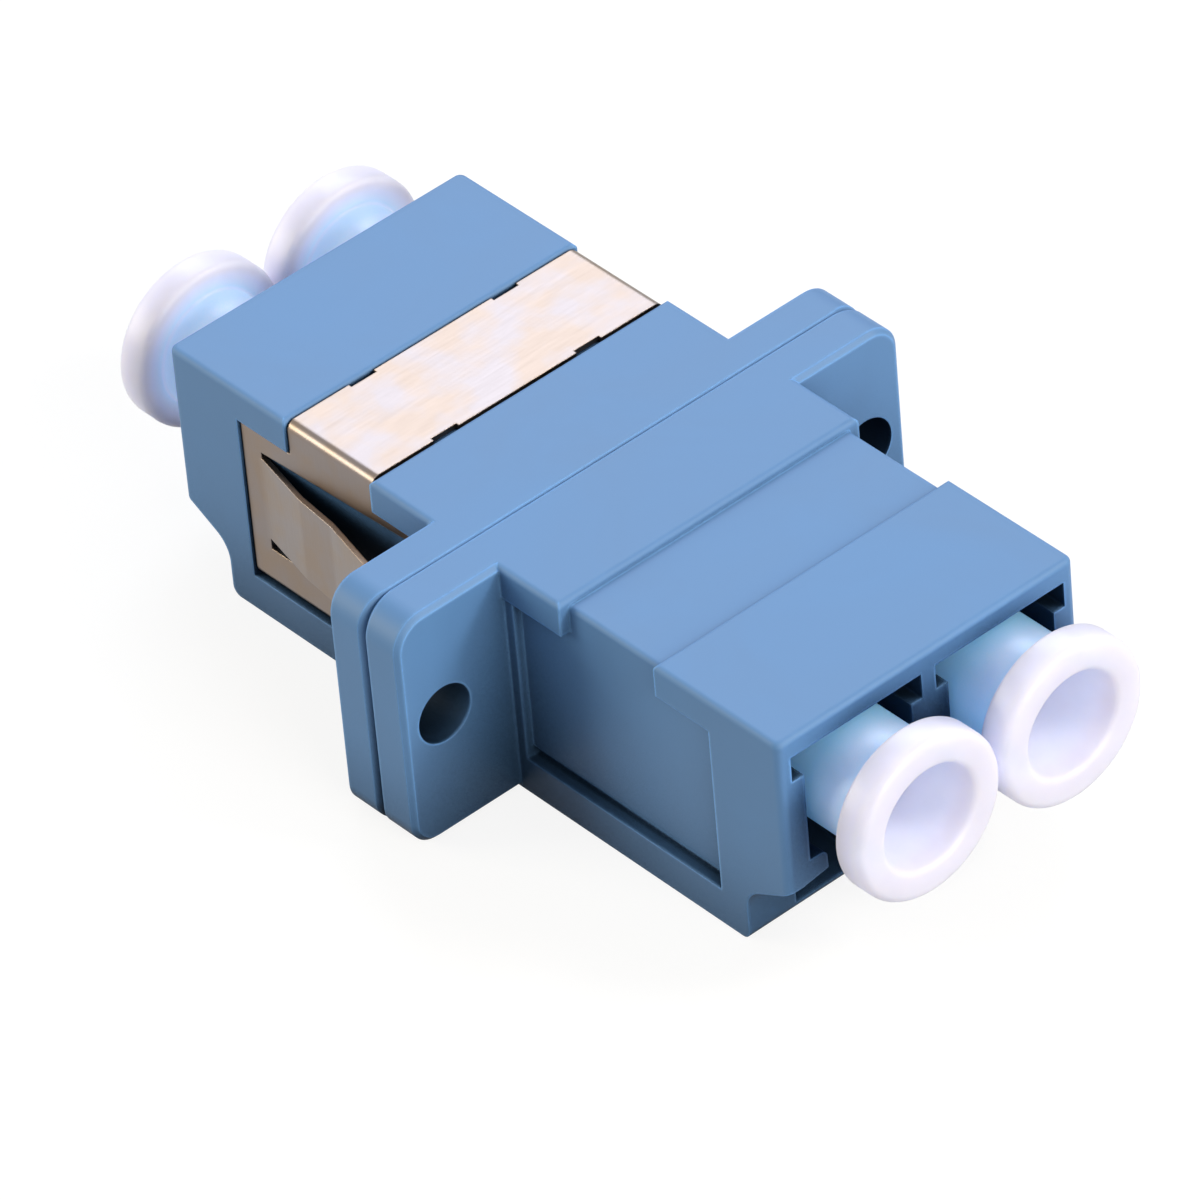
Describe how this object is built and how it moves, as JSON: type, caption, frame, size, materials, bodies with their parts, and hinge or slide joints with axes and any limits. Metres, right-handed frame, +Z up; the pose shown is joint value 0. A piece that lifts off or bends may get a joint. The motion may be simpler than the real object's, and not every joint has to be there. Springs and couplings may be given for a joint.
{
  "type": "duplex fibre optic adapter",
  "caption": "Flanged pass-through block with side-by-side square ports at both ends, a sprung panel clip and round dust caps, for joining fibre plugs in line.",
  "frame": {"origin": "on the underside, below the middle of the weld between the two halves", "axes": "+Y along the fibres towards the clip end, +X across the ports, +Z up from the underside"},
  "size_m": [0.022, 0.0364, 0.0094],
  "materials": {
    "housing": "moulded, fine satin",
    "clip": "rolled stainless spring sheet",
    "sleeve": "ground zirconia",
    "cap": "soft translucent polyethylene"
  },
  "bodies": {
    "adapter": {"front_housing": "housing", "rear_housing": "housing", "panel_clip": "clip", "split_sleeve_left": "sleeve", "split_sleeve_right": "sleeve"},
    "cap_front_left_body": {"cap_front_left": "cap"},
    "cap_front_right_body": {"cap_front_right": "cap"},
    "cap_rear_left_body": {"cap_rear_left": "cap"},
    "cap_rear_right_body": {"cap_rear_right": "cap"}
  },
  "joints": [
    {"name": "cap_front_left_pull", "type": "slide", "parent": "adapter", "child": "cap_front_left_body", "axis": [0, -1, 0], "range_m": [0, 0.02]},
    {"name": "cap_front_right_pull", "type": "slide", "parent": "adapter", "child": "cap_front_right_body", "axis": [0, -1, 0], "range_m": [0, 0.02]},
    {"name": "cap_rear_left_pull", "type": "slide", "parent": "adapter", "child": "cap_rear_left_body", "axis": [0, 1, 0], "range_m": [0, 0.02]},
    {"name": "cap_rear_right_pull", "type": "slide", "parent": "adapter", "child": "cap_rear_right_body", "axis": [0, 1, 0], "range_m": [0, 0.02]}
  ]
}
